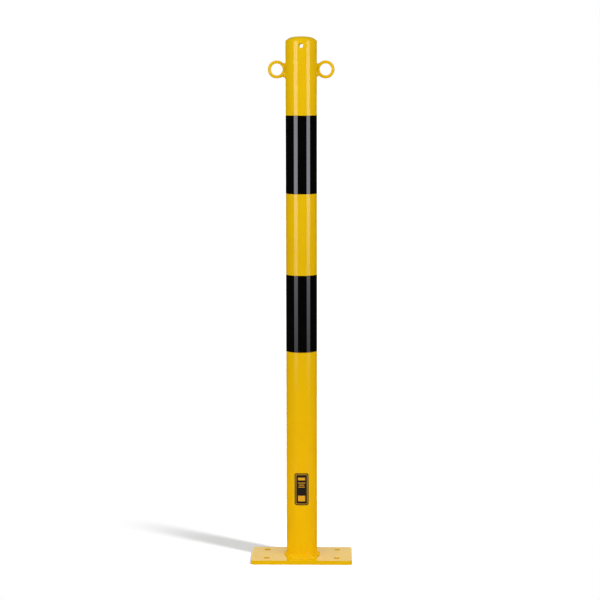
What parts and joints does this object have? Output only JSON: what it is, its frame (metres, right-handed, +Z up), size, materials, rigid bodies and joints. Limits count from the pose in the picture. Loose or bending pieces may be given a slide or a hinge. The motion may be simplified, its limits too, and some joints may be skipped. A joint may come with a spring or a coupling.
{
  "type": "steel safety bollard",
  "caption": "Round steel bollard post on a rectangular bolt-down base plate, with a dished cap, black bands and a round-bar chain eyelet welded on each side near the top.",
  "frame": {"origin": "on the ground under the base plate, on the post's axis", "axes": "+Z up along the post; +X through the right-hand eyelet, so X is the base plate's long side; -Y is the front, which carries the label"},
  "size_m": [0.195, 0.1, 1.0105],
  "materials": {
    "yellow_powder_coat": "glossy yellow powder coat over steel",
    "black_film": "glossy black adhesive film",
    "label_film": "dark adhesive label with a plain frame and plain bars"
  },
  "bodies": {
    "root": {"base_plate": "yellow_powder_coat", "post_tube": "yellow_powder_coat", "top_cap": "yellow_powder_coat", "cap_weld": "yellow_powder_coat", "foot_weld": "yellow_powder_coat", "left_eyelet": "yellow_powder_coat", "left_upper_bead": "yellow_powder_coat", "left_lower_bead": "yellow_powder_coat", "right_eyelet": "yellow_powder_coat", "right_upper_bead": "yellow_powder_coat", "right_lower_bead": "yellow_powder_coat", "upper_black_band": "black_film", "lower_black_band": "black_film", "blank_label": "label_film"}
  },
  "joints": []
}
